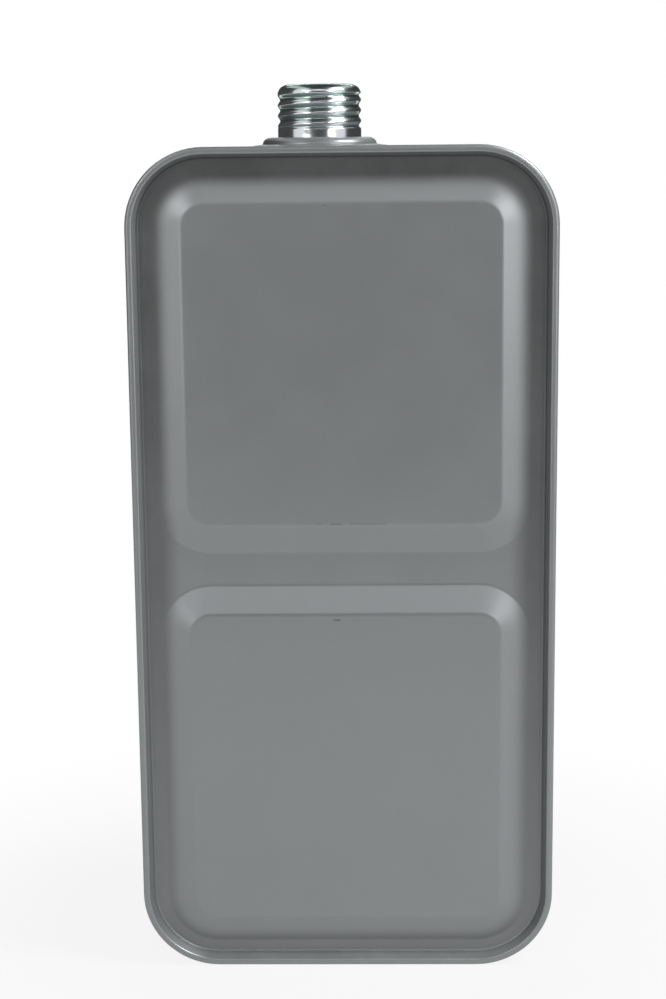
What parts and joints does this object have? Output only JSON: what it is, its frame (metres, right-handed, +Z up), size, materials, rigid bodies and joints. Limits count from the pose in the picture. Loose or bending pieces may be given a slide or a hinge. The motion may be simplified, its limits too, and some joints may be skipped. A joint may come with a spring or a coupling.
{
  "type": "portable fuel tank",
  "caption": "Flat pressed-steel cartridge fuel tank with double-seamed end plates, raised panels, a threaded filler neck, a folding wire handle and a float gauge.",
  "frame": {"origin": "on the standing plane, under the middle of the tank", "axes": "+Z up towards the filler neck, +X along the width, the pictured broad face towards -Y"},
  "size_m": [0.19, 0.08, 0.4045],
  "materials": {
    "grey_paint": "satin",
    "zinc_plate": "bright zinc plate",
    "seal_rubber": "matte",
    "black_plastic": "satin",
    "clear_plastic": "clear",
    "float_foam": "foam",
    "red_plastic": "gloss"
  },
  "bodies": {
    "tank": {"front_panel": "grey_paint", "rear_panel": "grey_paint", "body_band": "grey_paint", "front_seam_seal": "seal_rubber", "rear_seam_seal": "seal_rubber", "neck_collar": "grey_paint", "neck_gasket": "seal_rubber", "filler_neck": "zinc_plate", "handle_lug_left": "grey_paint", "handle_lug_right": "grey_paint", "gauge_gasket": "seal_rubber", "gauge_lens": "clear_plastic", "gauge_bezel": "zinc_plate", "gauge_bracket": "zinc_plate", "gauge_pivot_pin": "zinc_plate"},
    "handle": {"handle_bail": "zinc_plate", "handle_grip": "black_plastic"},
    "float_arm": {"gauge_arm": "zinc_plate", "gauge_float": "float_foam", "gauge_pointer": "red_plastic"}
  },
  "joints": [
    {"name": "handle_fold", "type": "hinge", "parent": "tank", "child": "handle", "pos_m": [0, -0.014, 0.00725], "axis": [-1, 0, 0], "range_deg": [0, 137]},
    {"name": "float_swing", "type": "hinge", "parent": "tank", "child": "float_arm", "pos_m": [0.07045, 0, 0.3], "axis": [0, 1, 0], "range_deg": [0, 50]}
  ]
}
